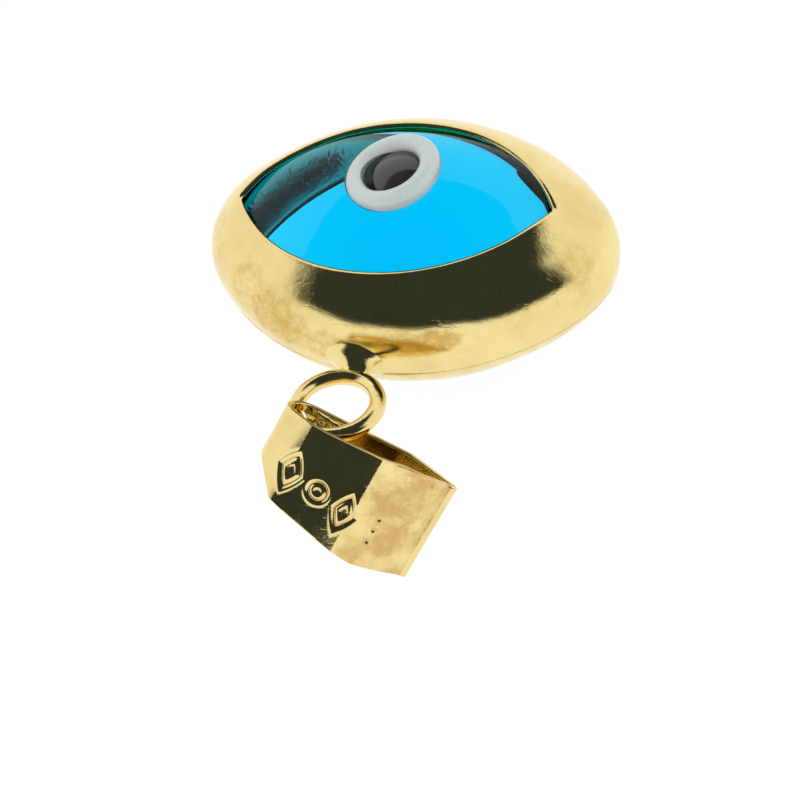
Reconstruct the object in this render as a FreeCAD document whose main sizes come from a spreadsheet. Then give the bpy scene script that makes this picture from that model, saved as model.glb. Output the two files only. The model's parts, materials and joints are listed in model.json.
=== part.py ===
import FreeCAD, Part
import math
import os

import Sketcher
from FreeCAD import Placement, Rotation, Vector

# Evil eye pendant: a hollow puffed gold eye of two stamped halves that hold a domed blue glass
# stone, a wire ring soldered on its rim, and a folded gold strip bail that swings on the ring.
# The eye's own frame: X from corner to corner, +Y away from the bail, +Z out of the eye's front,
# origin at the widest section. All sizes are in millimetres and degrees.
DIMENSIONS = {
    "eye_half_length": 10.0,
    "eye_half_width": 7.24,
    "eye_half_depth": 4.58,
    "eye_tip_radius": 4.4,
    "puff_power": 2.1,
    "shell_sheet": 0.3,
    "seam_height": -0.9,
    "seam_bead_radius": 0.17,
    "opening_half_length": 7.62,
    "opening_half_width": 4.7,
    "opening_offset": -0.4,
    "opening_tip_fillet": 0.35,
    "glass_gap": 0.04,
    "glass_half_length": 8.85,
    "glass_half_width": 5.9,
    "glass_front_height": 5.1,
    "glass_back_height": 5.65,
    "iris_outer_radius": 2.3,
    "iris_inner_radius": 1.36,
    "iris_seat_depth": 0.6,
    "iris_offset": -0.05,
    "iris_sink": 0.08,
    "iris_tilt": -11.0,
    "pupil_dome": 0.32,
    "ring_radius": 1.88,
    "ring_wire_radius": 0.36,
    "ring_tilt": -6.5,
    "ring_centre_left": -1.07,
    "ring_centre_back": -9.82,
    "ring_centre_up": -0.06,
    "solder_radius": 1.3,
    "solder_offset": -0.75,
    "solder_depth": 0.3,
    "bail_length": 8.3,
    "bail_gap": 1.93,
    "bail_front_lead": 30.0,
    "bail_fold_rise": 0.84,
    "bail_tail": 0.7,
    "bail_sheet": 0.26,
    "bail_end_width": 3.8,
    "bail_widest": 5.3,
    "bail_fold_width": 4.75,
    "bail_widest_at": 5.8,
    "bail_corner_cut": 1.3,
    "bail_hole_radius": 0.52,
    "bail_hole_reach": 0.9,
    "bail_yaw": -11.0,
    "bail_pitch": 28.0,
    "bail_roll": -41.0,
    "bail_left": -3.44,
    "bail_back": -12.8,
    "bail_up": 0.46,
    "lap_from_bend": 0.25,
    "lap_low_edge": -0.15,
    "lap_length": 1.9,
    "lap_width": 2.2,
    "lap_thickness": 0.14,
}

doc = FreeCAD.newDocument("evil_eye_pendant")
sheet = doc.addObject("Spreadsheet::Sheet", "dimensions")
for row, (alias, number) in enumerate(DIMENSIONS.items(), start=1):
    sheet.set(f"A{row}", alias)
    sheet.set(f"B{row}", str(number))
    sheet.setAlias(f"B{row}", alias)
doc.recompute()


def size(alias):
    return float(sheet.get(alias))


def add(kind, name, **expressions):
    """Add a document object whose properties follow cells of the sheet."""
    made = doc.addObject(kind, name)
    for prop, expression in expressions.items():
        made.setExpression(prop, expression)
    return made


def cell(alias):
    return f"dimensions.{alias}"


def cut(name, base, tool):
    made = doc.addObject("Part::Cut", name)
    made.Base, made.Tool = base, tool
    return made


def common(name, first, second):
    made = doc.addObject("Part::MultiCommon", name)
    made.Shapes = [first, second]
    return made


def fuse(name, *shapes):
    made = doc.addObject("Part::MultiFuse", name)
    made.Shapes = list(shapes)
    made.Refine = True
    return made


def feature(name, shape):
    made = doc.addObject("Part::Feature", name)
    made.Shape = shape
    return made


# ---------------------------------------------------------------- the puffed eye

def oval(half_length, half_width, tip_radius, height, scale=1.0):
    """Four tangent arcs: two long sides and two rounded eye corners."""
    reach = half_length - tip_radius
    side_radius = (reach ** 2 + half_width ** 2 - tip_radius ** 2) / (2 * (half_width - tip_radius))
    drop = side_radius - half_width
    along = reach / (side_radius - tip_radius)
    across = drop / (side_radius - tip_radius)
    joint_x, joint_y = reach + tip_radius * along, tip_radius * across

    def point(x, y):
        return Vector(x * scale, y * scale, height)

    corners = [point(joint_x, joint_y), point(-joint_x, joint_y),
               point(-joint_x, -joint_y), point(joint_x, -joint_y)]
    middles = [point(0, half_width), point(-half_length, 0), point(0, -half_width), point(half_length, 0)]
    arcs = [Part.Arc(corners[i], middles[i], corners[(i + 1) % 4]).toShape() for i in range(4)]
    return Part.Wire(arcs)


def section_scale(height, half_depth):
    power = size("puff_power")
    return (1 - abs(height / half_depth) ** power) ** (1 / power)


def puffed_form(inset):
    """Solid of the eye's outside, moved in by inset all round, with small flats at front and back."""
    half_depth = size("eye_half_depth") - inset
    sections = 8
    steepest = math.radians(80)
    wires = []
    for section in range(-sections, sections + 1):
        height = half_depth * math.sin(steepest * section / sections)
        wires.append(oval(size("eye_half_length") - inset, size("eye_half_width") - inset,
                          size("eye_tip_radius") - inset, height, section_scale(height, half_depth)))
    return Part.makeLoft(wires, True, False)


def almond_prism(name, inset):
    """Through-tool with the eye opening's outline: two arcs that meet in rounded corners."""
    body = doc.addObject("PartDesign::Body", name)
    plane = next(o for o in body.Origin.OriginFeatures if o.Role == "XY_Plane")
    sketch = body.newObject("Sketcher::SketchObject", name + "_outline")
    sketch.AttachmentSupport = [(plane, "")]
    sketch.MapMode = "FlatFace"
    half_length, half_width = size("opening_half_length") - inset, size("opening_half_width") - inset
    radius = (half_length ** 2 + half_width ** 2) / (2 * half_width)
    middle = size("opening_offset")
    half_angle = math.asin(half_length / radius)
    up = math.pi / 2
    normal = Vector(0, 0, 1)
    for side in (1, -1):
        circle = Part.Circle(Vector(middle, side * (half_width - radius), 0), normal, radius)
        start = side * up - half_angle
        sketch.addGeometry(Part.ArcOfCircle(circle, start, start + 2 * half_angle), False)
    first, last, x_axis, origin = 1, 2, -1, -1
    link = f"({cell('opening_half_length')} - {inset})"
    rise = f"({cell('opening_half_width')} - {inset})"
    sketch.addConstraint(Sketcher.Constraint("Coincident", 0, first, 1, last))
    sketch.addConstraint(Sketcher.Constraint("Coincident", 0, last, 1, first))
    sketch.addConstraint(Sketcher.Constraint("PointOnObject", 0, first, x_axis))
    sketch.addConstraint(Sketcher.Constraint("PointOnObject", 0, last, x_axis))
    sketch.addConstraint(Sketcher.Constraint("Equal", 0, 1))
    right = Sketcher.Constraint("DistanceX", origin, 1, 0, first, middle + half_length)
    left = Sketcher.Constraint("DistanceX", 0, last, origin, 1, half_length - middle)
    bound = [(Sketcher.Constraint("Radius", 0, radius), f"({link} ^ 2 + {rise} ^ 2) / (2 * {rise})"),
             (right, f"{cell('opening_offset')} + {link}"),
             (left, f"{link} - {cell('opening_offset')}")]
    for constraint, expression in bound:
        sketch.setExpression(f"Constraints[{sketch.addConstraint(constraint)}]", expression)
    pad = body.newObject("PartDesign::Pad", name + "_pad")
    pad.Profile = sketch
    pad.Midplane = True
    pad.setExpression("Length", f"4 * {cell('eye_half_depth')}")
    doc.recompute()
    corners = [f"Edge{i}" for i, edge in enumerate(pad.Shape.Edges, start=1)
               if abs(edge.tangentAt(edge.FirstParameter).z) > 0.99]
    fillet = body.newObject("PartDesign::Fillet", name + "_corners")
    fillet.Base = (pad, corners)
    fillet.setExpression("Radius", f"{cell('opening_tip_fillet')} - {inset} / 2")
    doc.recompute()
    return body


outer_form = feature("outer_form", puffed_form(0))
inner_form = feature("inner_form", puffed_form(size("shell_sheet")))
hollow_form = cut("hollow_form", outer_form, inner_form)
opening = almond_prism("opening", 0)
framed_form = cut("framed_form", hollow_form, opening)


def half_space(name, above):
    """Box that covers the eye on one side of the seam."""
    margin = 2.0
    box = add("Part::Box", name, Length=f"2 * {cell('eye_half_length')} + 2 * {margin}",
              Width=f"2 * {cell('eye_half_width')} + 2 * {margin}",
              Height=f"2 * {cell('eye_half_depth')}")
    box.setExpression("Placement.Base.x", f"-{cell('eye_half_length')} - {margin}")
    box.setExpression("Placement.Base.y", f"-{cell('eye_half_width')} - {margin}")
    base = cell("seam_height")
    box.setExpression("Placement.Base.z", base if above else f"{base} - 2 * {cell('eye_half_depth')}")
    return box


front_shell = common("front_shell", framed_form, half_space("front_side", True))
back_shell = common("back_shell", framed_form, half_space("back_side", False))

# ---------------------------------------------------------------- glass, iris and pupil

core_form = feature("core_form", puffed_form(size("shell_sheet") + size("glass_gap")))
window = almond_prism("window", size("glass_gap"))
glass_room = fuse("glass_room", core_form, window)


def glass_dome(height):
    """Half of the stone: lofted ellipses up to a small flat, which is the stone's ground spot."""
    sections = 7
    steepest = math.radians(82)
    wires = []
    for section in range(sections + 1):
        angle = steepest * section / sections
        ellipse = Part.Ellipse(Vector(0, 0, 0), size("glass_half_length") * math.cos(angle),
                               size("glass_half_width") * math.cos(angle))
        edge = ellipse.toShape()
        edge.translate(Vector(0, 0, height * math.sin(angle)))
        wires.append(Part.Wire(edge))
    return Part.makeLoft(wires, True, False)


glass_form = fuse("glass_form", feature("glass_front", glass_dome(size("glass_front_height"))),
                  feature("glass_back", glass_dome(-size("glass_back_height"))))
glass_blank = common("glass_blank", glass_form, glass_room)


def iris_frame():
    """Frame of the iris: on the glass's crest, sunk a little, and leaning toward -X."""
    crest = size("glass_front_height") - size("iris_sink")
    return Placement(Vector(size("iris_offset"), 0, crest), Rotation(Vector(0, 1, 0), size("iris_tilt")))


def seat_cylinder(name, radius, height):
    made = add("Part::Cylinder", name, Radius=radius, Height=height)
    made.setExpression("Placement.Base.z", f"-{cell('iris_seat_depth')}")
    return made


iris_seat = add("Part::Cylinder", "iris_seat", Radius=cell("iris_outer_radius"),
                Height=f"2 * {cell('iris_outer_radius')}")
iris_seat.Placement = iris_frame().multiply(Placement(Vector(0, 0, -size("iris_seat_depth")), Rotation()))
glass_eye = cut("glass_eye", glass_blank, iris_seat)

iris_disc = seat_cylinder("iris_disc", cell("iris_outer_radius"), cell("iris_seat_depth"))
iris_bore = seat_cylinder("iris_bore", cell("iris_inner_radius"), cell("iris_seat_depth"))
iris_foot = cut("iris_foot", iris_disc, iris_bore)
iris_cushion = add("Part::Torus", "iris_cushion",
                   Radius1=f"({cell('iris_outer_radius')} + {cell('iris_inner_radius')}) / 2",
                   Radius2=f"({cell('iris_outer_radius')} - {cell('iris_inner_radius')}) / 2")
iris_ring = fuse("iris_ring", iris_foot, iris_cushion)

pupil_disc = seat_cylinder("pupil_disc", cell("iris_inner_radius"),
                           f"{cell('iris_seat_depth')} + {cell('pupil_dome')}")
crown_radius = f"(({cell('iris_inner_radius')}) ^ 2 + ({cell('pupil_dome')}) ^ 2) / (2 * {cell('pupil_dome')})"
pupil_crown = add("Part::Sphere", "pupil_crown", Radius=crown_radius)
pupil_crown.setExpression("Placement.Base.z", f"{cell('pupil_dome')} - {crown_radius}")
pupil = common("pupil", pupil_disc, pupil_crown)

# ---------------------------------------------------------------- ring, solder and seam

hanging_ring = add("Part::Torus", "hanging_ring", Radius1=cell("ring_radius"),
                   Radius2=cell("ring_wire_radius"))
RING_FRAME = Placement(Vector(size("ring_centre_left"), size("ring_centre_back"), size("ring_centre_up")),
                       Rotation(Vector(1, 0, 0), size("ring_tilt")))
ring_copy = add("Part::Torus", "ring_copy", Radius1=cell("ring_radius"), Radius2=cell("ring_wire_radius"))
ring_copy.Placement = RING_FRAME

solder_blob = add("Part::Sphere", "solder_blob", Radius=cell("solder_radius"))
solder_blob.setExpression("Placement.Base.x", cell("solder_offset"))
solder_blob.setExpression("Placement.Base.y", f"{cell('solder_depth')} - {cell('eye_half_width')}")
solder_outside = cut("solder_outside", solder_blob, outer_form)
ring_solder = cut("ring_solder", solder_outside, ring_copy)

seam_scale = section_scale(size("seam_height"), size("eye_half_depth"))
seam_path = feature("seam_path", oval(size("eye_half_length"), size("eye_half_width"),
                                      size("eye_tip_radius"), size("seam_height"), seam_scale))
seam_section = add("Part::Circle", "seam_section", Radius=cell("seam_bead_radius"))
seam_section.Placement = Placement(
    Vector(0, size("eye_half_width") * seam_scale, size("seam_height")), Rotation(Vector(0, 1, 0), 90))
seam_rope = doc.addObject("Part::Sweep", "seam_rope")
seam_rope.Sections = [seam_section]
seam_rope.Spine = (seam_path, [f"Edge{i}" for i in range(1, 5)])
seam_rope.Solid = True
seam_rope.Frenet = True
seam_outside = cut("seam_outside", seam_rope, outer_form)
seam_solder = cut("seam_solder", seam_outside, solder_blob)

# ---------------------------------------------------------------- bail
# The bail's own frame: X along the strip from its rounded end to its fold, Y from its front wall to
# its back wall, Z across the strip, origin at the rounded end's front.


def bail_frame():
    base = Vector(size("bail_left"), size("bail_back"), size("bail_up"))
    return Placement(base, Rotation(size("bail_yaw"), size("bail_pitch"), size("bail_roll")))


LOOP_CRACK = 0.01  # half of the crack that the hollow ends in, where the walls are pressed together


def loop_points(inset):
    """Corners of the folded strip's profile, moved in by inset from the outside of the sheet."""
    gap, sheet_metal = size("bail_gap"), size("bail_sheet")
    radius = (gap + sheet_metal) / 2 - inset
    centre = Vector(gap / 2, gap / 2, 0)
    lead = math.radians(size("bail_front_lead"))
    pressed = Vector(size("bail_length") - sheet_metal, size("bail_fold_rise"), 0)
    inner_bend = centre + Vector(0, (gap - sheet_metal) / 2, 0)
    along = (pressed - inner_bend).normalize()
    outward = Vector(-along.y, along.x, 0)
    return {"left": centre + Vector(-radius, 0, 0),
            "front_start": centre + Vector(-math.sin(lead), -math.cos(lead), 0) * radius,
            "back_start": centre + Vector(0, radius, 0),
            "meeting": pressed - along * size("bail_tail"),
            "pressed": pressed, "along": along, "outward": outward}


def bowed_arc(start, end, start_slope):
    """Arc that leaves start at a slope below the X axis and bulges toward -Y on its way to end."""
    chord = end - start
    half_turn = (start_slope + math.atan2(chord.y, chord.x)) / 2
    bulge = Vector(chord.y, -chord.x, 0) * (math.tan(half_turn) / 2)
    return Part.Arc(start, (start + end) * 0.5 + bulge, end)


def loop_profile(inset):
    """Outline of the folded strip: round at one end, bowed in front, pressed flat behind the fold."""
    corner = loop_points(inset)
    lead = math.radians(size("bail_front_lead"))
    layer = size("bail_sheet") - inset
    round_end = Part.Arc(corner["back_start"], corner["left"], corner["front_start"])
    if layer > LOOP_CRACK:
        side = corner["outward"] * layer
        tail_start, front_end = corner["meeting"] - side, corner["pressed"] - side
        back_end = corner["pressed"] + side
        edges = [bowed_arc(corner["front_start"], tail_start, lead),
                 Part.LineSegment(tail_start, front_end),
                 Part.Arc(front_end, corner["pressed"] + corner["along"] * layer, back_end)]
    else:
        side = corner["outward"] * LOOP_CRACK
        tail_start, back_end = corner["meeting"] - side, corner["meeting"] + side
        edges = [bowed_arc(corner["front_start"], tail_start, lead),
                 Part.LineSegment(tail_start, back_end)]
    edges = [round_end] + edges + [Part.LineSegment(back_end, corner["back_start"])]
    return Part.Wire([edge.toShape() for edge in edges])


def strip_outline():
    """The strip's side view: narrow at the rounded end, widest near the fold, with a clipped corner."""
    end, widest, fold = size("bail_end_width") / 2, size("bail_widest") / 2, size("bail_fold_width") / 2
    clip, margin = size("bail_corner_cut"), 1.0
    left, middle, right = -margin, size("bail_widest_at"), size("bail_length") + margin
    points = [(left, end), (middle, widest), (right, fold), (right, -fold), (middle, -widest),
              (clip, -end), (left, clip + margin - end)]
    corners = [Vector(x, -2 * margin, z) for x, z in points]
    return Part.Face(Part.makePolygon(corners + corners[:1]))


def extrusion(name, base, direction, length):
    """Solid drawn from a face along a direction, for a length given by an expression."""
    made = doc.addObject("Part::Extrusion", name)
    made.Base = base
    made.DirMode = "Custom"
    made.Dir = direction
    made.Solid = True
    made.setExpression("LengthFwd", length)
    return made


loop_width = f"2 * {cell('bail_widest')}"
loop_solids = []
for side, inset in (("outside", 0), ("inside", size("bail_sheet"))):
    face = feature("loop_face_" + side, Part.Face(loop_profile(inset)))
    prism = extrusion("loop_" + side, face, Vector(0, 0, 1), loop_width)
    prism.setExpression("Placement.Base.z", f"-{cell('bail_widest')}")
    loop_solids.append(prism)
bail_tube = cut("bail_tube", *loop_solids)
strip_side = feature("strip_side", strip_outline())
strip_prism = extrusion("strip_prism", strip_side, Vector(0, 1, 0), f"3 * {cell('bail_gap')} + 2")
bail_strip = common("bail_strip", bail_tube, strip_prism)


def ring_crossing():
    """Where the ring's wire passes the bail's back wall near the rounded end, in the bail's frame."""
    to_bail = bail_frame().inverse()
    best = None
    for degree in range(180, 240):
        angle = math.radians(degree)
        local = Vector(size("ring_radius") * math.cos(angle), size("ring_radius") * math.sin(angle), 0)
        spot = to_bail.multVec(RING_FRAME.multVec(local))
        wall = size("bail_gap") * (1 - spot.x / size("bail_length") / 2)
        if best is None or abs(spot.y - wall) < best[0]:
            along = RING_FRAME.Rotation.multVec(Vector(-math.sin(angle), math.cos(angle), 0))
            best = (abs(spot.y - wall), spot, to_bail.Rotation.multVec(along))
    return best[1], best[2]


hole_centre, hole_axis = ring_crossing()
bail_hole = add("Part::Cylinder", "bail_hole", Radius=cell("bail_hole_radius"),
                Height=f"2 * {cell('bail_hole_reach')}")
bail_hole.Placement = Placement(hole_centre - hole_axis * size("bail_hole_reach"),
                                Rotation(Vector(0, 0, 1), hole_axis))
bail_strap = cut("bail_strap", bail_strip, bail_hole)

# A thin patch of solder lies flat on the inside of the back wall, where the strip's ends lap.
bail_solder = add("Part::Box", "bail_solder", Length=cell("lap_length"), Width=cell("lap_thickness"),
                  Height=cell("lap_width"))
inner_loop = loop_points(size("bail_sheet"))
back_wall = inner_loop["meeting"] + inner_loop["outward"] * LOOP_CRACK - inner_loop["back_start"]
back_wall.normalize()
lap_corner = (inner_loop["back_start"] + back_wall * size("lap_from_bend")
              - Vector(-back_wall.y, back_wall.x, 0) * size("lap_thickness")
              + Vector(0, 0, size("lap_low_edge")))
LAP_FRAME = bail_frame().multiply(
    Placement(lap_corner, Rotation(Vector(1, 0, 0), back_wall)))

# ---------------------------------------------------------------- placing, checking and writing

FIXED = [front_shell, back_shell, seam_solder, glass_eye, ring_solder]
PLACED = [(iris_ring, iris_frame()), (pupil, iris_frame()), (hanging_ring, RING_FRAME),
          (bail_strap, bail_frame()), (bail_solder, LAP_FRAME)]

doc.recompute()
for part, frame in PLACED:
    part.Placement = frame
doc.recompute()
parts = FIXED + [part for part, _ in PLACED]
box = FreeCAD.BoundBox()
for part in parts:
    box.add(part.Shape.optimalBoundingBox(False, False))
# The part's origin is under the middle of its box, on the plane that it lies on.
to_origin = Placement(Vector(-box.Center.x, -box.Center.y, -box.ZMin), Rotation())
for part in parts:
    part.Label = part.Name
    part.Placement = to_origin.multiply(part.Placement)
doc.recompute()

for item in doc.Objects:
    if "Invalid" in item.State or "Error" in item.State:
        raise RuntimeError(f"{item.Name} failed: {item.State}")
os.makedirs("parts", exist_ok=True)
for part in parts:
    if part.Shape.isNull() or not part.Shape.isValid():
        raise RuntimeError(f"{part.Name} has no valid shape")
    part.Shape.exportStep(f"parts/{part.Label}.step")
    print(f"{part.Label}: {len(part.Shape.Solids)} solid, {part.Shape.Volume:.3f} mm3, "
          f"{part.Shape.optimalBoundingBox(False, False)}")
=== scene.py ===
import json
import math

import bmesh
import bpy
from mathutils import Euler, Matrix, Vector, noise


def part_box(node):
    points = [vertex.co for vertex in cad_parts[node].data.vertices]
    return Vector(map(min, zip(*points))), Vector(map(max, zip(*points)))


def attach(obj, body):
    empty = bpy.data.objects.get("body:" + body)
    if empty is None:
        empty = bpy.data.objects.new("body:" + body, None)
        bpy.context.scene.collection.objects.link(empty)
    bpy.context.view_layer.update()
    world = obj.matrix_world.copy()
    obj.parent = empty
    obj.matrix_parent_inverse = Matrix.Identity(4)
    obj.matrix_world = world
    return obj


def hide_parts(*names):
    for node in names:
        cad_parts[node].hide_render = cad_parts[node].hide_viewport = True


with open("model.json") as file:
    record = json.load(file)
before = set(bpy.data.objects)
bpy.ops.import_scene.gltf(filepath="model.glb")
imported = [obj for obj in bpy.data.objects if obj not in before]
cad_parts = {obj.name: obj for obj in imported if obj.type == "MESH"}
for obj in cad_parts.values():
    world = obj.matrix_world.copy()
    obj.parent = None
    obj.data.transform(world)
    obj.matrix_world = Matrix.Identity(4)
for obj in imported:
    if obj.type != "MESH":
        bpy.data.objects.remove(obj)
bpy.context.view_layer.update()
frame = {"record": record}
MM = 0.001

# ---------------------------------------------------------------- sizes, in millimetres
# The eye's own frame is the one part.py uses: X from corner to corner, Z out of the front.

HALF_LENGTH, HALF_WIDTH, HALF_DEPTH = 10.0, 7.24, 4.58
TIP_RADIUS, PUFF_POWER, SHEET = 4.4, 2.1, 0.3
SEAM_HEIGHT, SEAM_BEAD = -0.9, 0.17
OPENING_LENGTH, OPENING_WIDTH, OPENING_OFFSET, OPENING_FILLET = 7.62, 4.7, -0.4, 0.35
GLASS_LENGTH, GLASS_WIDTH, GLASS_FRONT, GLASS_BACK = 8.85, 5.9, 5.1, 5.65
GLASS_POWER = 2.0
IRIS_OUTER, IRIS_INNER, IRIS_SEAT = 2.3, 1.36, 0.6
IRIS_OFFSET, IRIS_SINK, IRIS_TILT, IRIS_FLATNESS = -0.05, 0.08, -11.0, 0.92
PUPIL_DOME = 0.32
RING_RADIUS, RING_WIRE = 1.88, 0.36
SOLDER_OFFSET = -0.75
BAIL_LENGTH, BAIL_GAP, BAIL_SHEET = 8.3, 1.93, 0.26
BAIL_END, BAIL_WIDEST, BAIL_FOLD, BAIL_WIDEST_AT, BAIL_CLIP = 3.8, 5.3, 4.75, 5.8, 1.3
BAIL_LEAD, BAIL_FOLD_RISE, BAIL_TAIL, BAIL_HOLE = 30.0, 0.84, 0.15, 0.45
LAP_FROM_BEND, LAP_LOW_EDGE = 0.25, -0.15
BAIL_ORIGIN, BAIL_TURN = Vector((-3.44, -12.8, 0.46)), (-41.0, 28.0, -11.0)
# The bail's tail and hole are smaller here than in part.py, which keeps its solids further apart.

# Where the eye's own frame stands in the row frame: the seam bead tells both.
seam_low, seam_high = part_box("seam_solder")
EYE = Vector(((seam_low[0] + seam_high[0]) / 2, (seam_low[1] + seam_high[1]) / 2,
              (seam_low[2] + seam_high[2]) / 2 - SEAM_HEIGHT * MM))
EYE_TO_ROW = Matrix.Translation(EYE) @ Matrix.Scale(MM, 4)
BAIL_TO_EYE = (Matrix.Translation(BAIL_ORIGIN)
               @ Euler([math.radians(a) for a in BAIL_TURN], "XYZ").to_matrix().to_4x4())
IRIS_TO_EYE = (Matrix.Translation((IRIS_OFFSET, 0, GLASS_FRONT - IRIS_SINK))
               @ Matrix.Rotation(math.radians(IRIS_TILT), 4, "Y"))


# ---------------------------------------------------------------- mesh helpers

def mesh_object(name, points, faces, to_row=EYE_TO_ROW):
    mesh = bpy.data.meshes.new(name)
    mesh.from_pydata([to_row @ Vector(p) for p in points], [], faces)
    mesh.validate()
    mesh.shade_smooth()
    made = bpy.data.objects.new(name, mesh)
    bpy.context.scene.collection.objects.link(made)
    return made


def lattice_faces(rows, columns, close_rows, close_columns, first=0):
    """Quads between neighbouring points of a grid stored row by row."""
    faces = []
    for r in range(rows if close_rows else rows - 1):
        for c in range(columns if close_columns else columns - 1):
            r2, c2 = (r + 1) % rows, (c + 1) % columns
            faces.append((first + r * columns + c, first + r * columns + c2,
                          first + r2 * columns + c2, first + r2 * columns + c))
    return faces


def paint(obj, amounts):
    """Stores how dirty each point of a mesh is, for its material."""
    layer = obj.data.attributes.new("grime", "FLOAT", "POINT")
    layer.data.foreach_set("value", amounts)


def face_outward(obj):
    """Turns the faces of a closed mesh so that they look out of the solid."""
    work = bmesh.new()
    work.from_mesh(obj.data)
    bmesh.ops.remove_doubles(work, verts=work.verts, dist=1e-7)
    bmesh.ops.recalc_face_normals(work, faces=work.faces)
    work.to_mesh(obj.data)
    work.free()
    obj.data.shade_smooth()


def lathe(name, profile, steps, to_row):
    """Solid of revolution about Z. The profile runs from axis to axis, as (radius, height) pairs."""
    points, rows = [], []
    for radius, height in profile:
        count = 1 if radius < 1e-6 else steps
        rows.append((len(points), count))
        for k in range(count):
            turn = 2 * math.pi * k / steps
            points.append((radius * math.cos(turn), radius * math.sin(turn), height))
    faces = []
    for (low, low_count), (high, high_count) in zip(rows, rows[1:]):
        for k in range(steps):
            k2 = (k + 1) % steps
            if low_count == 1:
                faces.append((low, high + k2, high + k))
            elif high_count == 1:
                faces.append((low + k, low + k2, high))
            else:
                faces.append((low + k, low + k2, high + k2, high + k))
    return mesh_object(name, points, faces, to_row)


def arc(centre, radius, start, stop, steps):
    """Points on an arc in a plane, with the angles in degrees."""
    turns = [math.radians(start + (stop - start) * k / steps) for k in range(steps + 1)]
    return [(centre[0] + radius * math.cos(t), centre[1] + radius * math.sin(t)) for t in turns]


# ---------------------------------------------------------------- the puffed shells

def oval_radius(turn, inset=0.0):
    """Distance from the middle to the four-arc oval in a direction."""
    tip, width = TIP_RADIUS - inset, HALF_WIDTH - inset
    reach = HALF_LENGTH - TIP_RADIUS
    side = (reach ** 2 + width ** 2 - tip ** 2) / (2 * (width - tip))
    drop = side - width
    along, across = abs(math.cos(turn)), abs(math.sin(turn))
    joint_x, joint_y = reach + tip * reach / (side - tip), tip * drop / (side - tip)
    if across * joint_x < along * joint_y:
        return reach * along + math.sqrt(tip ** 2 - (reach * across) ** 2)
    return -across * drop + math.sqrt(side ** 2 - (drop * along) ** 2)


def section_scale(level):
    """Size of the outline at a height given as a part of the half depth."""
    return max(0.0, 1 - abs(level) ** PUFF_POWER) ** (1 / PUFF_POWER)


def almond_outline(inset=0.0, side_steps=110, tip_steps=14):
    """The opening's outline: two long arcs that meet in two small rounded corners."""
    length, width = OPENING_LENGTH - inset, OPENING_WIDTH - inset
    radius = (length ** 2 + width ** 2) / (2 * width)
    drop = radius - width
    corner = math.sqrt((radius - OPENING_FILLET) ** 2 - drop ** 2)
    tangent = math.degrees(math.atan2(drop, corner))
    loop = arc((corner, 0), OPENING_FILLET, -tangent, tangent, tip_steps)[:-1]
    loop += arc((0, -drop), radius, tangent, 180 - tangent, side_steps)[:-1]
    loop += arc((-corner, 0), OPENING_FILLET, 180 - tangent, 180 + tangent, tip_steps)[:-1]
    loop += arc((0, drop), radius, 180 + tangent, 360 - tangent, side_steps)[:-1]
    return [(x + OPENING_OFFSET, y) for x, y in loop]


def hand_made(point, amount=0.014):
    """A slow waviness of the beaten sheet, which bends its reflections."""
    slow = noise.noise(Vector(point) * 0.33)
    quick = noise.noise(Vector(point) * 0.95 + Vector((7.0, 1.0, 3.0)))
    return amount * (2.2 * slow + 0.8 * quick)


SHELL_ROWS, INNER_ROWS = 44, 13  # spans of each shell section outside, and points on its inside
RIM_WIDTH, RIM_DROP, CORNER_CUT = 0.28, 0.7, 0.04
RIM_BENDS = (15, 30, 45, 60, 75, 90)
RIM_ROWS = len(RIM_BENDS) + 2  # spans of each section on the opening's rounded rim


def shell_column(x, y, front):
    """Closed section of the sheet through one point of the opening's outline."""
    turn, distance = math.atan2(y, x), math.hypot(x, y)
    sign = 1 if front else -1
    outer, inner = oval_radius(turn), oval_radius(turn, SHEET)
    inner_depth = HALF_DEPTH - SHEET

    def level_at(radius, oval):
        return max(0.0, 1 - (radius / oval) ** PUFF_POWER) ** (1 / PUFF_POWER)

    section = []
    seam_level = SEAM_HEIGHT / HALF_DEPTH * sign
    rim_level = level_at(distance + RIM_WIDTH, outer)
    low, high = math.asin(seam_level), math.asin(rim_level)
    for k in range(SHELL_ROWS + 1):
        level = math.sin(low + (high - low) * k / SHELL_ROWS)
        section.append((outer * section_scale(level), level * HALF_DEPTH * sign))
    top = rim_level * HALF_DEPTH
    slope = (level_at(distance, outer) * HALF_DEPTH - top) / RIM_WIDTH
    for bend in RIM_BENDS:
        back = math.radians(bend)
        rise = slope * math.sin(back) / 2 - RIM_DROP * (1 - math.cos(back))
        section.append((distance + RIM_WIDTH * (1 - math.sin(back)),
                        sign * (top + RIM_WIDTH * rise)))
    bottom = level_at(distance, inner) * inner_depth
    section.append((distance, sign * (bottom + CORNER_CUT)))
    section.append((distance + CORNER_CUT, sign * bottom))
    inner_low = math.asin(SEAM_HEIGHT / inner_depth * sign)
    inner_high = math.asin(level_at(distance + 0.1, inner))
    for k in range(INNER_ROWS):
        level = math.sin(inner_high + (inner_low - inner_high) * k / (INNER_ROWS - 1))
        section.append((inner * section_scale(level), level * inner_depth * sign))
    unit = (math.cos(turn), math.sin(turn))
    placed = []
    for radius, height in section:
        spot = Vector((radius * unit[0], radius * unit[1], height))
        away = Vector((spot.x / HALF_LENGTH ** 2, spot.y / HALF_WIDTH ** 2,
                       spot.z / HALF_DEPTH ** 2))
        placed.append(spot + away.normalized() * hand_made(spot))
    return placed


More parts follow.
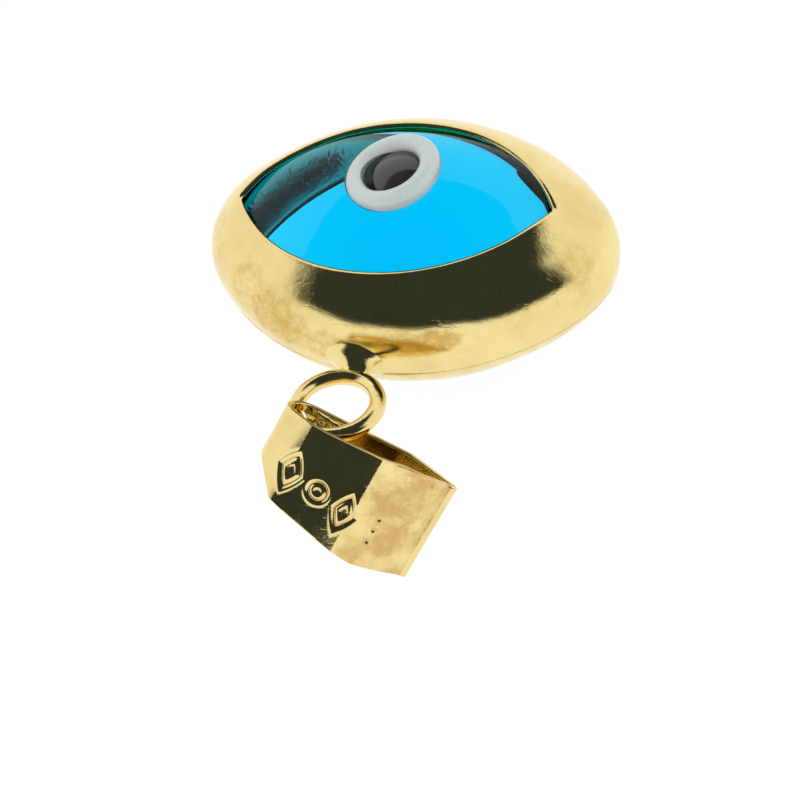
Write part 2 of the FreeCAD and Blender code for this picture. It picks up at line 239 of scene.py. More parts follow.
# Tarnish on the eye: middle of each stain, its half sizes and its strength.
STAINS = (
    ((2.9, -6.7, 1.1), (1.5, 1.2, 0.6), 1.0),
    ((2.0, -6.8, 1.1), (2.3, 1.2, 0.7), 0.62),
    ((-4.6, -5.5, 0.9), (2.2, 1.8, 1.5), 0.72),
    ((-6.6, -4.6, 1.5), (1.6, 1.6, 1.8), 0.5),
    ((-2.2, -6.9, 0.6), (1.8, 1.0, 1.0), 0.6),
    ((8.9, -2.2, 2.0), (1.3, 1.3, 1.6), 0.45),
    ((-8.9, -1.5, 1.4), (1.0, 1.6, 1.4), 0.4),
    ((0.5, -7.2, -1.4), (6.0, 1.0, 0.6), 0.4),
    ((3.0, 6.6, 1.2), (2.5, 1.0, 1.0), 0.5),
    ((-3.0, 6.4, -2.0), (3.0, 1.5, 1.0), 0.5),
)


def stain_at(spot):
    amount = 0.0
    for middle, half, strength in STAINS:
        reach = math.hypot(*((a - b) / c for a, b, c in zip(spot, middle, half)))
        amount = max(amount, strength * min(1.0, max(0.0, 2.4 - 2.0 * reach)))
    return amount


def uneven(x, y):
    """The back opening is cut a little smaller at its far left than the front one."""
    left = min(1.0, max(0.0, (1.0 - x) / 5.0))
    return x * (1 - 0.035 * left), y * (1 - (0.036 * left if y > 0 else 0.0))


def build_shell(name, front):
    outline = almond_outline()
    if not front:
        outline = [uneven(x, y) for x, y in outline]
    columns = [shell_column(x, y, front) for x, y in outline]
    rows = len(columns[0])
    points = [column[r] for r in range(rows) for column in columns]
    shell = mesh_object(name, points, lattice_faces(rows, len(columns), True, True))
    paint(shell, [stain_at(p) for p in points])
    # Inside rows get the painted dark shade. The rounded rim rows get near-white gold, a painted
    # highlight of the cut edge catching light.
    for face in shell.data.polygons:
        from_seam = face.index // len(columns)
        face.material_index = (1 if from_seam >= rows - INNER_ROWS - 1
                               else 2 if from_seam >= rows - INNER_ROWS - RIM_ROWS else 0)
    face_outward(shell)
    return shell


SEAM_SINK, SEAM_PART, SEAM_FLATNESS = 0.05, 0.6, 0.8  # leaner than the CAD's bead


def build_seam():
    """A bead of solder that wanders a little in width along the joint."""
    around, steps = 360, 12
    level = SEAM_HEIGHT / HALF_DEPTH
    points = []
    for k in range(around):
        turn = 2 * math.pi * k / around
        reach = oval_radius(turn) * section_scale(level) - SEAM_SINK
        centre = Vector((reach * math.cos(turn), reach * math.sin(turn), SEAM_HEIGHT))
        out = centre.xy.normalized().to_3d()
        swell = 0.86 + 0.3 * noise.noise(centre * 0.9)
        for s in range(steps):
            spin = 2 * math.pi * s / steps
            side = out * math.cos(spin) * SEAM_FLATNESS + Vector((0, 0, math.sin(spin)))
            points.append(centre + SEAM_BEAD * SEAM_PART * swell * side)
    bead = mesh_object("seam_bead", points, lattice_faces(around, steps, True, True))
    face_outward(bead)
    return bead


# ---------------------------------------------------------------- glass, iris and pupil

def build_glass():
    """Almond stone with a dome in front and behind; its edge runs on under the shells."""
    around, steps = 256, 48
    points = [(0, 0, GLASS_FRONT)]
    for row in range(1, 2 * steps):
        tilt = math.pi / 2 - math.pi * row / (2 * steps)
        depth = GLASS_FRONT if tilt > 0 else GLASS_BACK
        wide = abs(math.cos(tilt)) ** (2 / GLASS_POWER)
        tall = math.copysign(abs(math.sin(tilt)) ** (2 / GLASS_POWER), tilt)
        for k in range(around):
            turn = 2 * math.pi * k / around
            points.append((GLASS_LENGTH * wide * math.cos(turn),
                           GLASS_WIDTH * wide * math.sin(turn), depth * tall))
    points.append((0, 0, -GLASS_BACK))
    faces = lattice_faces(2 * steps - 1, around, False, True, 1)
    last = len(points) - 1
    for k in range(around):
        k2 = (k + 1) % around
        faces.append((0, 1 + k2, 1 + k))
        faces.append((last, last - around + k, last - around + k2))
    glass = mesh_object("blue_stone", points, faces)
    face_outward(glass)
    return glass


def build_iris():
    """Soft raised ring of white glass, thicker where the rod was pressed on."""
    middle, half = (IRIS_OUTER + IRIS_INNER) / 2, (IRIS_OUTER - IRIS_INNER) / 2
    around, steps = 160, 28
    points = []
    for k in range(around):
        turn = 2 * math.pi * k / around
        swell = 1 + 0.05 * math.cos(turn - 1.2) + 0.03 * math.cos(2 * turn + 0.5)
        way = Vector((math.cos(turn), math.sin(turn), 0))
        for s in range(steps):
            spin = 2 * math.pi * s / steps
            across, up = half * math.cos(spin), half * math.sin(spin) * IRIS_FLATNESS
            if up < 0:
                across = math.copysign(abs(across) ** 0.5 * half ** 0.5, across)
                up *= IRIS_SEAT / half
            wide = swell if across > 0 else 1.0
            points.append(way * (middle + across * wide) + Vector((0, 0, up)))
    ring = mesh_object("iris_band", points, lattice_faces(around, steps, True, True),
                       EYE_TO_ROW @ IRIS_TO_EYE)
    face_outward(ring)
    return ring


def build_pupil():
    dome_radius = (IRIS_INNER ** 2 + PUPIL_DOME ** 2) / (2 * PUPIL_DOME)
    profile = [(0, -IRIS_SEAT), (IRIS_INNER, -IRIS_SEAT)]
    steps = 14
    for k in range(steps + 1):
        radius = IRIS_INNER * (1 - k / steps)
        height = PUPIL_DOME - dome_radius + math.sqrt(dome_radius ** 2 - radius ** 2)
        profile.append((radius, height))
    pupil = lathe("pupil_dot", profile, 96, EYE_TO_ROW @ IRIS_TO_EYE)
    face_outward(pupil)
    return pupil


# ---------------------------------------------------------------- ring and its solder

RING_JOINT = frame["record"]["behaviour"]["joints"][0]
RING_CENTRE, RING_AXIS = Vector(RING_JOINT["pos_m"]), Vector(RING_JOINT["axis"])


def ring_matrix():
    turn = Vector((0, 0, 1)).rotation_difference(RING_AXIS).to_matrix().to_4x4()
    return Matrix.Translation(RING_CENTRE) @ turn @ Matrix.Scale(MM, 4)


def build_ring():
    around, steps = 200, 28
    points = []
    for k in range(around):
        turn = 2 * math.pi * k / around
        way = Vector((math.cos(turn), math.sin(turn), 0))
        worn = 1.04 + 0.07 * math.cos(turn - 0.3) + 0.03 * noise.noise(way * 3.0)
        for s in range(steps):
            spin = 2 * math.pi * s / steps
            points.append(way * (RING_RADIUS + RING_WIRE * worn * math.cos(spin))
                          + Vector((0, 0, RING_WIRE * worn * math.sin(spin))))
    ring = mesh_object("wire_ring", points, lattice_faces(around, steps, True, True), ring_matrix())
    face_outward(ring)
    return ring


def build_mound():
    """Solder that flows from the eye's edge up to the ring's wire in a hollow curve."""
    foot, neck, start, length, dome, hollow = 1.25, 0.42, -0.1, 0.8, 0.2, 1.15
    longer, leaner, sunk, lower = 1.3, 0.95, 0.12, 0.1
    profile = [(0, start - 0.3), (foot, start - 0.3)]
    rows = 18
    for k in range(rows + 1):
        part = k / rows
        radius = neck + (foot - neck) * (1 - part) ** hollow
        profile.append((radius, start + length * part))
    top = start + length
    profile += [(neck * math.cos(math.radians(a)), top + dome * math.sin(math.radians(a)))
                for a in (25, 50, 70)]
    profile.append((0, top + dome))
    outward = Matrix.Rotation(math.radians(90), 4, "X")
    place = EYE_TO_ROW @ Matrix.Translation((SOLDER_OFFSET, -HALF_WIDTH + sunk, -lower)) @ outward
    mound = lathe("ring_mound", profile, 72, place)
    for vertex in mound.data.vertices:
        local = place.inverted() @ vertex.co
        bump = 0.05 * noise.noise(local * 1.6)
        flat = Vector((local.x * longer, local.y * leaner, local.z))
        vertex.co = place @ (flat + Vector((local.x, local.y, 0)).normalized() * bump)
    face_outward(mound)
    return mound


# ---------------------------------------------------------------- bail

def knee(along):
    """Two hand-bent creases in the front wall, as how far it stands out from the plain bow."""
    start, first, waist, second, stop = 0.4, 1.45, 3.0, 4.8, 7.7
    ridge, dip, crest = 0.17, 0.05, 0.22
    if along < start or along > stop:
        return 0.0
    if along < first:
        return ridge * (along - start) / (first - start)
    if along < waist:
        return ridge - (ridge - dip) * (along - first) / (waist - first)
    if along < second:
        return dip + (crest - dip) * ((along - waist) / (second - waist)) ** 2
    return crest * (stop - along) / (stop - second)


def loop_line():
    """Middle line of the folded strip with its outward directions, all the way round."""
    radius, half_sheet, lead = BAIL_GAP / 2, BAIL_SHEET / 2, math.radians(BAIL_LEAD)
    centre = Vector((radius, radius))
    pressed = Vector((BAIL_LENGTH - BAIL_SHEET, BAIL_FOLD_RISE))
    along = (pressed - centre - Vector((0, radius - half_sheet))).normalized()
    outward = Vector((-along.y, along.x))
    layer = half_sheet + 0.015

    def straight_to_fold(x):
        return pressed.y + (x - pressed.x) * along.y / along.x

    # The front wall is part of a circle that leaves the round end smoothly and meets the back wall.
    start = centre - radius * Vector((math.sin(lead), math.cos(lead)))
    end = pressed - along * BAIL_TAIL - outward * layer
    chord = end - start
    turn = lead + math.atan2(chord.y, chord.x)
    bend = chord.length / (2 * math.sin(turn))
    middle = start + bend * Vector((math.sin(lead), math.cos(lead)))
    softness = 0.07
    line = []
    steps = 250
    for k in range(steps):
        x = start.x + (pressed.x - start.x) * k / steps
        room = straight_to_fold(x) - layer - (middle.y - math.sqrt(bend ** 2 - (x - middle.x) ** 2))
        room = softness * math.log1p(math.exp(min(40.0, room / softness)))
        line.append(Vector((x, straight_to_fold(x) - layer - room - knee(x))))
    for angle in range(-80, 81, 20):
        t = math.radians(angle)
        line.append(pressed + layer * (along * math.cos(t) + outward * math.sin(t)))
    back_start = centre + Vector((0, radius))
    steps = 90
    for k in range(steps):
        line.append((pressed + outward * layer).lerp(back_start, k / steps))
    steps = 56
    for k in range(steps):
        t = math.radians(90 + (180 - BAIL_LEAD) * k / steps)
        line.append(centre + radius * Vector((math.cos(t), math.sin(t))))
    spots = []
    for k, spot in enumerate(line):
        slope = (line[(k + 1) % len(line)] - line[k - 1]).normalized()
        spots.append((spot, Vector((slope.y, -slope.x))))
    return spots


def strip_edge(along, lower):
    """Half width of the strip at a place along it; the lower corner at the round end is clipped."""
    end, widest, fold = BAIL_END / 2, BAIL_WIDEST / 2, BAIL_FOLD / 2
    start = BAIL_CLIP if lower else -1.0
    if along > BAIL_WIDEST_AT:
        beyond = (along - BAIL_WIDEST_AT) / (BAIL_LENGTH + 1.0 - BAIL_WIDEST_AT)
        return widest + (fold - widest) * beyond
    if along > start:
        return end + (widest - end) * (along - start) / (BAIL_WIDEST_AT - start)
    return end - (start - along)


# Ornament on the front wall: place along the strip, how far below its middle, and the shape.
LOZENGE_ALONG, LOZENGE_ACROSS, MARK_RING = 0.46, 0.78, 0.42
GROOVE_DEPTH, GROOVE_WIDTH, DOT_DEPTH, DOT_WIDTH = 0.07, 0.085, 0.05, 0.11
MARKS = ((1.55, 0.2, "lozenge"), (3.0, 0.35, "ring"), (4.45, 0.55, "lozenge"),
         (5.9, 1.3, "dot"), (5.9, 0.7, "dot"), (5.9, 0.1, "dot"))


def mark_depth(along, up):
    """Stamped lozenges, ring and dots, as soft grooves with raised lips."""
    line = dot = 9.0
    for middle, low, kind in MARKS:
        x, y = along - middle, up + low
        if kind == "lozenge":
            a, b = abs(x) / LOZENGE_ALONG, abs(y) / LOZENGE_ACROSS
            line = min(line, abs(math.hypot(a, b) * 0.35 + (a + b) * 0.65 - 1) * 0.44)
        elif kind == "ring":
            line = min(line, abs(math.hypot(x, y) - MARK_RING))
        else:
            dot = min(dot, math.hypot(x, y))
    groove = (-GROOVE_DEPTH * math.exp(-(line / GROOVE_WIDTH) ** 2)
              - DOT_DEPTH * math.exp(-(dot / DOT_WIDTH) ** 2))
    raised = 0.022 * math.exp(-((line - 0.18) / 0.08) ** 2)
    return groove + raised


def build_bail():
    across, inside = 150, 40
    half_sheet, edge = BAIL_SHEET / 2, 0.06
    spots = loop_line()
    round_steps = [math.radians(a) for a in (30, 60, 90, 120, 150)]
    points, grime = [], []
    for spot, out in spots:
        low, high = -strip_edge(spot.x, True), strip_edge(spot.x, False)
        in_front = out.y < 0 and spot.x < BAIL_LENGTH - BAIL_SHEET
        section = []
        for k in range(across + 1):
            up = low + edge + (high - low - 2 * edge) * k / across
            lift = mark_depth(spot.x, up) if in_front else 0.0
            wave = 0.03 * noise.noise(Vector((spot.x * 0.5, spot.y, up * 0.4)))
            dirt = min(1.0, -lift / 0.04) if lift < 0 else 0.0
            section.append((half_sheet + lift + wave, up, dirt))
        for t in round_steps:
            section.append((half_sheet * math.cos(t), high - edge + edge * math.sin(t), 0.3))
        for k in range(inside + 1):
            section.append((-half_sheet, high - edge - (high - low - 2 * edge) * k / inside, 0.0))
        for t in round_steps:
            section.append((-half_sheet * math.cos(t), low + edge - edge * math.sin(t), 0.3))
        for rise, up, dirt in section:
            flat = spot + out * rise
            points.append((flat.x, flat.y, up))
            patch = noise.noise(Vector((flat.x * 0.7, flat.y, up * 0.7 + 5.0)))
            right_side = min(1.0, max(0.0, (flat.x - 3.8) / 1.8)) if in_front and rise > 0 else 0.0
            grime.append(min(1.0, max(0.0, 0.45 * dirt + right_side * (0.75 + 0.8 * patch))))
    columns = len(section)
    strap = mesh_object("bail_strip", points, lattice_faces(len(spots), columns, True, True),
                        EYE_TO_ROW @ BAIL_TO_EYE)
    paint(strap, grime)
    first_inside = across + 1 + len(round_steps)
    for face in strap.data.polygons:
        face.material_index = 1 if 0 <= face.index % columns - first_inside < inside else 0
    face_outward(strap)
    return strap


def ring_crossing():
    """Where the ring's wire passes the bail's back wall near the round end, in the row frame."""
    to_bail = (EYE_TO_ROW @ BAIL_TO_EYE).inverted()
    best = None
    for degree in range(180, 240):
        turn = math.radians(degree)
        on_wire = (RING_RADIUS * math.cos(turn), RING_RADIUS * math.sin(turn), 0)
        spot = ring_matrix() @ Vector(on_wire)
        local = to_bail @ spot
        wall = BAIL_GAP * (1 - local.x / BAIL_LENGTH / 2)
        if best is None or abs(local.y - wall) < best[0]:
            along = ring_matrix().to_3x3() @ Vector((-math.sin(turn), math.cos(turn), 0))
            best = (abs(local.y - wall), spot, along.normalized())
    return best[1], best[2]


def drill_bail(strap):
    centre, along = ring_crossing()
    turn = Vector((0, 0, 1)).rotation_difference(along).to_matrix().to_4x4()
    place = Matrix.Translation(centre) @ turn @ Matrix.Scale(MM, 4)
    tool = lathe("hole_tool", [(0, -0.5), (BAIL_HOLE, -0.5), (BAIL_HOLE, 0.5), (0, 0.5)], 48, place)
    face_outward(tool)
    cutter = strap.modifiers.new("hole", "BOOLEAN")
    cutter.operation, cutter.solver, cutter.object = "DIFFERENCE", "EXACT", tool
    bpy.context.view_layer.objects.active = strap
    bpy.ops.object.modifier_apply(modifier=cutter.name)
    bpy.data.objects.remove(tool)
    strap.data.shade_smooth()
    strap.data.set_sharp_from_angle(angle=math.radians(38))


def build_lap():
    """Grainy patch where the strip's ends lap inside the round end."""
    length, width, thick = 1.9, 2.2, 0.14
    across, along = 40, 34
    points = []
    for face in (0, 1):
        for i in range(along + 1):
            for j in range(across + 1):
                x, z = length * i / along, width * j / across
                edge = min(x, length - x, z, width - z)
                grain = (0.05 * noise.noise(Vector((x, z, 0)) * 5.0)
                         + 0.03 * noise.noise(Vector((x, z, 4)) * 12.0))
                y = 0.0 if face else -(thick + grain) * min(1.0, edge / 0.12 + 0.1)
                points.append((x, y, z))
    per_face = (along + 1) * (across + 1)
    faces = lattice_faces(along + 1, across + 1, False, False)
    faces += [tuple(i + per_face for i in reversed(f)) for f in faces]
    rim = [j for j in range(across + 1)] + [(i + 1) * (across + 1) - 1 for i in range(1, along + 1)]
    rim += [along * (across + 1) + j for j in range(across - 1, -1, -1)]
    rim += [i * (across + 1) for i in range(along - 1, 0, -1)]
    for a, b in zip(rim, rim[1:] + rim[:1]):
        faces.append((a, b, b + per_face, a + per_face))
    bend = Vector((BAIL_GAP / 2, BAIL_GAP - BAIL_SHEET / 2))
    wall = (Vector((BAIL_LENGTH - BAIL_SHEET, BAIL_FOLD_RISE)) - bend).normalized()
    corner = bend + wall * LAP_FROM_BEND
    place = (EYE_TO_ROW @ BAIL_TO_EYE @ Matrix.Translation((corner.x, corner.y, LAP_LOW_EDGE))
             @ Matrix.Rotation(math.atan2(wall.y, wall.x), 4, "Z"))
    lap = mesh_object("lap_patch", points, faces, place)
    face_outward(lap)
    return lap


# ---------------------------------------------------------------- materials

def nodes_of(name):
    material = bpy.data.materials.new(name)
    material.use_nodes = True
    tree = material.node_tree
    return material, tree, tree.nodes["Principled BSDF"]


def add_node(tree, kind, **settings):
    made = tree.nodes.new(kind)
    for key, value in settings.items():
        if key in made.inputs:
            made.inputs[key].default_value = value
        else:
            setattr(made, key, value)
    return made


def noise_node(tree, coordinates, scale, detail=4.0, roughness=0.5):
    made = add_node(tree, "ShaderNodeTexNoise")
    made.inputs["Scale"].default_value = scale
    made.inputs["Detail"].default_value = detail
    made.inputs["Roughness"].default_value = roughness
    tree.links.new(coordinates, made.inputs["Vector"])
    return made.outputs["Fac"]


def ramp(tree, value, stops):
    made = tree.nodes.new("ShaderNodeValToRGB")
    while len(made.color_ramp.elements) < len(stops):
        made.color_ramp.elements.new(0.5)
    for element, (place, colour) in zip(made.color_ramp.elements, stops):
        element.position = place
        element.color = (*colour, 1) if isinstance(colour, tuple) else (colour, colour, colour, 1)
    tree.links.new(value, made.inputs["Fac"])
    return made.outputs["Color"]


def mix_colour(tree, factor, first, second):
    made = tree.nodes.new("ShaderNodeMix")
    made.data_type = "RGBA"
    for name, value in (("Factor", factor), ("A", first), ("B", second)):
        socket = made.inputs[name]
        if isinstance(value, tuple):
            socket.default_value = (*value, 1)
        elif isinstance(value, (int, float)):
            socket.default_value = value
        else:
            tree.links.new(value, socket)
    return made.outputs["Result"]


def arithmetic(tree, operation, *values):
    made = tree.nodes.new("ShaderNodeMath")
    made.operation = operation
    for socket, value in zip(made.inputs, values):
        if isinstance(value, (int, float)):
            socket.default_value = value
        else:
            tree.links.new(value, socket)
    return made.outputs["Value"]


def gold(name, polish=0.035, base=(0.88, 0.72, 0.32), deep=(0.60, 0.38, 0.08), dull=0.14,
         relief_height=0.014):
    """Yellow gold, worn and hand polished: cloudy film, brown tarnish, fine scratches and pits."""
    material, tree, shader = nodes_of(name)
    coordinates = tree.nodes.new("ShaderNodeTexCoord").outputs["Object"]
    painted = add_node(tree, "ShaderNodeAttribute", attribute_name="grime").outputs["Fac"]
    cloud = noise_node(tree, coordinates, 420.0, 6.0, 0.65)
    film = ramp(tree, cloud, [(0.4, 0.0), (0.75, 1.0)])
    blotch = noise_node(tree, coordinates, 1700.0, 10.0, 0.8)
    spread = arithmetic(tree, "ADD", painted, arithmetic(tree, "MULTIPLY_ADD", blotch, 3.2, -1.6))
    stain = arithmetic(tree, "MULTIPLY", ramp(tree, spread, [(0.2, 0.0), (1.0, 1.0)]),
                       arithmetic(tree, "MINIMUM", arithmetic(tree, "MULTIPLY", painted, 1.6), 1.0))
    colour = mix_colour(tree, arithmetic(tree, "MULTIPLY", film, 0.35), base, deep)
    colour = mix_colour(tree, arithmetic(tree, "MULTIPLY", stain, 0.8), colour, deep)
    specks = noise_node(tree, coordinates, 3300.0, 3.0, 0.6)
    pits = ramp(tree, specks, [(0.67, 0.0), (0.73, 1.0)])
    some = ramp(tree, cloud, [(0.5, 0.1), (0.65, 1.0)])
    pits = arithmetic(tree, "MULTIPLY", pits, some)
    colour = mix_colour(tree, arithmetic(tree, "MULTIPLY", pits, 0.7), colour, (0.16, 0.10, 0.04))
    tree.links.new(colour, shader.inputs["Base Color"])
    shader.inputs["Metallic"].default_value = 1.0
    rough = arithmetic(tree, "MULTIPLY_ADD", film, dull * 0.5, polish)
    rough = arithmetic(tree, "MULTIPLY_ADD", stain, dull, rough)
    tree.links.new(rough, shader.inputs["Roughness"])
    grain = noise_node(tree, coordinates, 3600.0, 6.0, 0.75)
    stretch = tree.nodes.new("ShaderNodeMapping")
    stretch.inputs["Scale"].default_value = (1.0, 14.0, 9.0)
    stretch.inputs["Rotation"].default_value = (0.3, 0.2, 0.7)
    tree.links.new(coordinates, stretch.inputs["Vector"])
    scratches = ramp(tree, noise_node(tree, stretch.outputs["Vector"], 450.0, 2.0, 0.5),
                     [(0.62, 0.0), (0.7, 1.0)])
    relief = arithmetic(tree, "MULTIPLY_ADD", scratches, -0.25, grain)
    relief = arithmetic(tree, "MULTIPLY_ADD", pits, -0.8, relief)
    bump = tree.nodes.new("ShaderNodeBump")
    bump.inputs["Strength"].default_value = 0.5
    bump.inputs["Distance"].default_value = relief_height * MM
    tree.links.new(relief, bump.inputs["Height"])
    tree.links.new(bump.outputs["Normal"], shader.inputs["Normal"])
    return material


def painted_shade_inside():
    """Inside of the shells, seen only through the stone, with painted shade: dark blue in place of
    gold for the shaded hollow.
    """
    material, tree, shader = nodes_of("painted_shade_inside")
    coordinates = tree.nodes.new("ShaderNodeTexCoord").outputs["Object"]
    cloud = noise_node(tree, coordinates, 700.0, 5.0, 0.6)
    # Painted shade: these dark blue tones stand for the shade inside the hollow shells.
    tree.links.new(ramp(tree, cloud, [(0.3, (0.07, 0.11, 0.20)), (0.7, (0.14, 0.20, 0.32))]),
                   shader.inputs["Base Color"])
    tree.links.new(ramp(tree, cloud, [(0.3, 0.55), (0.7, 0.75)]), shader.inputs["Roughness"])
    shader.inputs["Metallic"].default_value = 0.2
    return material


REFRACTION_ONLY = 0.6  # part of the stone's surface that has no reflection
GLASS_IOR, GLASS_TINT = 1.5, (0.97, 0.985, 1.0, 1)


def blue_glass():
    material, tree, shader = nodes_of("blue_glass")
    shader.inputs["Base Color"].default_value = GLASS_TINT
    shader.inputs["Transmission Weight"].default_value = 1.0
    shader.inputs["IOR"].default_value = GLASS_IOR
    coordinates = tree.nodes.new("ShaderNodeTexCoord").outputs["Object"]
    smears = noise_node(tree, coordinates, 300.0, 5.0, 0.6)
    rough = ramp(tree, smears, [(0.45, 0.0), (0.85, 0.05)])
    tree.links.new(rough, shader.inputs["Roughness"])
    # Part of the surface only lets light through, so that the white tent shows less on the dome.
    through = tree.nodes.new("ShaderNodeBsdfRefraction")
    through.inputs["Color"].default_value = GLASS_TINT
    through.inputs["IOR"].default_value = GLASS_IOR
    tree.links.new(rough, through.inputs["Roughness"])
    blend = tree.nodes.new("ShaderNodeMixShader")
    blend.inputs["Fac"].default_value = REFRACTION_ONLY
    output = tree.nodes["Material Output"]
    tree.links.new(shader.outputs["BSDF"], blend.inputs[1])
    tree.links.new(through.outputs["BSDF"], blend.inputs[2])
    tree.links.new(blend.outputs["Shader"], output.inputs["Surface"])
    absorb = tree.nodes.new("ShaderNodeVolumeAbsorption")
    absorb.inputs["Color"].default_value = (0.04, 0.9225, 0.9957, 1)
    absorb.inputs["Density"].default_value = 700.0
    tree.links.new(absorb.outputs["Volume"], tree.nodes["Material Output"].inputs["Volume"])
    return material


def opaque_glass(name, light, dark, roughness, scale):
    material, tree, shader = nodes_of(name)
    coordinates = tree.nodes.new("ShaderNodeTexCoord").outputs["Object"]
    cloud = noise_node(tree, coordinates, scale, 5.0, 0.6)
    tree.links.new(ramp(tree, cloud, [(0.3, dark), (0.7, light)]), shader.inputs["Base Color"])
    shader.inputs["Coat Weight"].default_value = 0.3
    shader.inputs["Coat Roughness"].default_value = 0.08
    rough = ramp(tree, cloud, [(0.3, roughness * 0.8), (0.7, roughness * 1.3)])
    tree.links.new(rough, shader.inputs["Roughness"])
    return material


# ---------------------------------------------------------------- putting it together

def finish_piece(piece, body, material, slot, *nodes):
    piece.data.materials.clear()
    piece.data.materials.append(material)
    if piece.name in ("gold_front", "gold_back"):
        piece.data.materials.append(INSIDE)
        piece.data.materials.append(RIM)
    if piece.name == "bail_strip":
        piece.data.materials.append(STRIP_INSIDE)
    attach(piece, body)
    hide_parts(*nodes)


# Painted shade for the shells' inside faces.
INSIDE = painted_shade_inside()
POLISHED = gold("polished_gold")
# Painted highlight: near-white gold on the opening's rim stands for the thin bright line of the cut
# edge catching light.
RIM = gold("rim_painted_highlight", base=(1.0, 1.0, 0.97), deep=(1.0, 0.96, 0.84))
BEAD = gold("seam_gold", polish=0.34, base=(0.86, 0.71, 0.34), dull=0.2)
SOLDER = gold("solder_gold", polish=0.1, base=(0.86, 0.71, 0.33), dull=0.2)
STRIP = gold("strip_gold", polish=0.035, deep=(0.60, 0.36, 0.12), dull=0.12, relief_height=0.009)
STRIP_INSIDE = gold("strip_inside", polish=0.45, base=(0.95, 0.76, 0.34), deep=(0.70, 0.48, 0.14),
                    dull=0.3)
MILK_GLASS = opaque_glass("milk_glass", (0.58, 0.64, 0.62), (0.46, 0.52, 0.50), 0.25, 300.0)
BLACK_GLASS = opaque_glass("black_glass", (0.035, 0.033, 0.03), (0.015, 0.014, 0.014), 0.12, 500.0)

finish_piece(build_shell("gold_front", True), "pendant", POLISHED, "gold", "front_shell")
finish_piece(build_shell("gold_back", False), "pendant", POLISHED, "gold", "back_shell")
finish_piece(build_seam(), "pendant", BEAD, "solder", "seam_solder")
finish_piece(build_glass(), "pendant", blue_glass(), "blue_glass", "glass_eye")
finish_piece(build_iris(), "pendant", MILK_GLASS, "white_glass", "iris_ring")
finish_piece(build_pupil(), "pendant", BLACK_GLASS, "black_glass", "pupil")
finish_piece(build_ring(), "pendant", POLISHED, "gold", "hanging_ring")
finish_piece(build_mound(), "pendant", POLISHED, "solder", "ring_solder")
strap = build_bail()
drill_bail(strap)
finish_piece(strap, "bail", STRIP, "gold", "bail_strap")
finish_piece(build_lap(), "bail", SOLDER, "solder", "bail_solder")


# ---------------------------------------------------------------- stage, light and camera

def stage_material(name, colour, glow):
    material, tree, shader = nodes_of(name)
    shader.inputs["Base Color"].default_value = (*colour, 1)
    shader.inputs["Roughness"].default_value = 0.9
    shader.inputs["Specular IOR Level"].default_value = 0.0
    shader.inputs["Emission Color"].default_value = (1, 1, 1, 1)
    shader.inputs["Emission Strength"].default_value = glow
    return material


def build_floor():
    reach = 1500.0
    corners = [(-reach, -reach, 0), (reach, -reach, 0), (reach, reach, 0), (-reach, reach, 0)]
    floor = mesh_object("floor", corners, [(0, 1, 2, 3)], Matrix.Scale(MM, 4))
    floor.data.materials.append(stage_material("lit_floor", (0.08, 0.08, 0.08), 0.96))


# The dark room above and before the white tent: azimuth (0 toward -Y) and lowest elevation of
# the dark. It was placed by where the gold's dark reflections begin and end.
DARK_EDGE = ((-180, 52), (-100, 52), (-78, 46), (-66, 36), (-57, 20), (-14, 16),
             (0, 14.5), (22, 14), (40, 7), (75, 8), (80, 44), (108, 54), (180, 52))


CAP_DISTANCE, CAP_GLOW = 600.0, (0.036, 0.046, 0.048, 1)


def dark_edge_at(azimuth):
    for (left, low), (right, high) in zip(DARK_EDGE, DARK_EDGE[1:]):
        if azimuth <= right:
            return low + (high - low) * (azimuth - left) / (right - left)
    return DARK_EDGE[-1][1]


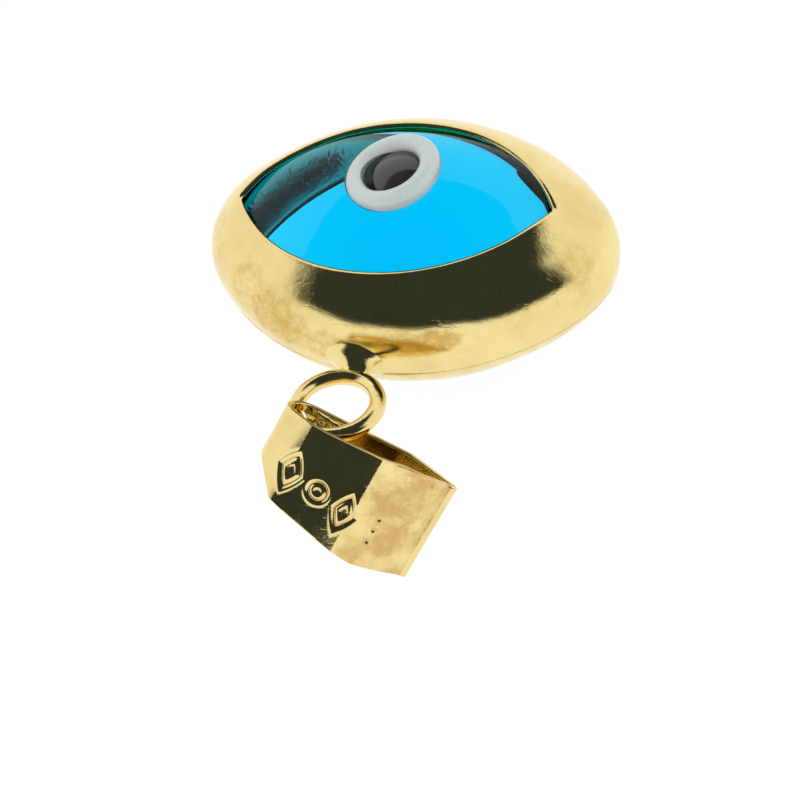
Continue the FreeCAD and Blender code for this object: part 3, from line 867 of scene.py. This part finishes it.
def build_dark_cap():
    """Black dome over the eye that only shows as a reflection, open toward the white tent."""
    around, rows = 144, 14
    centre = EYE / MM
    points = []
    for row in range(rows + 1):
        for k in range(around):
            azimuth = -180 + 360 * k / around
            low = dark_edge_at(azimuth)
            rise, turn = math.radians(low + (89.5 - low) * row / rows), math.radians(azimuth)
            flat = CAP_DISTANCE * math.cos(rise)
            points.append(centre + Vector((flat * math.sin(turn), -flat * math.cos(turn),
                                           CAP_DISTANCE * math.sin(rise))))
    cap = mesh_object("dark_cap", points, lattice_faces(rows + 1, around, False, True),
                      Matrix.Scale(MM, 4))
    cap.data.materials.append(stage_material("cap_black", (0.0, 0.0, 0.0), 1.0))
    glow = cap.data.materials[0].node_tree.nodes["Principled BSDF"].inputs["Emission Color"]
    glow.default_value = CAP_GLOW
    cap.visible_camera = cap.visible_diffuse = cap.visible_shadow = cap.visible_transmission = False


build_floor()
build_dark_cap()

world = bpy.data.worlds.new("tent")
bpy.context.scene.world = world
world.use_nodes = True
world.node_tree.nodes["Background"].inputs["Color"].default_value = (1.0, 1.0, 1.0, 1)
world.node_tree.nodes["Background"].inputs["Strength"].default_value = 1.0
bpy.context.scene.view_settings.view_transform = "Standard"


# Degrees and millimetres; FOCAL_PART is the focal length over the sensor's width.
VIEW_AZIMUTH, VIEW_ELEVATION, VIEW_ROLL = 24.5, 45.33, -14.2
VIEW_DISTANCE, FOCAL_PART = 100.66, 2.6375
AIM_RIGHT, AIM_DOWN = 0.329, 4.15


def add_camera():
    """Long lens at the photographer's place, aimed a little past the eye so that the bail fits."""
    azimuth, elevation, roll = (math.radians(a) for a in (VIEW_AZIMUTH, VIEW_ELEVATION, VIEW_ROLL))
    back = Vector((math.cos(elevation) * math.sin(azimuth),
                   -math.cos(elevation) * math.cos(azimuth), math.sin(elevation)))
    level = Vector((math.cos(azimuth), math.sin(azimuth), 0))
    upright = back.cross(level)
    right = level * math.cos(roll) + upright * math.sin(roll)
    up = back.cross(right)
    turn = Matrix((right, up, back)).transposed()
    aim = Euler((-math.radians(AIM_DOWN), math.radians(AIM_RIGHT), 0)).to_matrix()
    lens = bpy.data.cameras.new("camera")
    lens.lens = lens.sensor_width * FOCAL_PART
    lens.clip_start, lens.clip_end = 0.005, 10.0
    camera = bpy.data.objects.new("camera", lens)
    place = Matrix.Translation(EYE + back * VIEW_DISTANCE * MM)
    camera.matrix_world = place @ (turn @ aim).to_4x4()
    bpy.context.scene.collection.objects.link(camera)
    bpy.context.scene.camera = camera


add_camera()
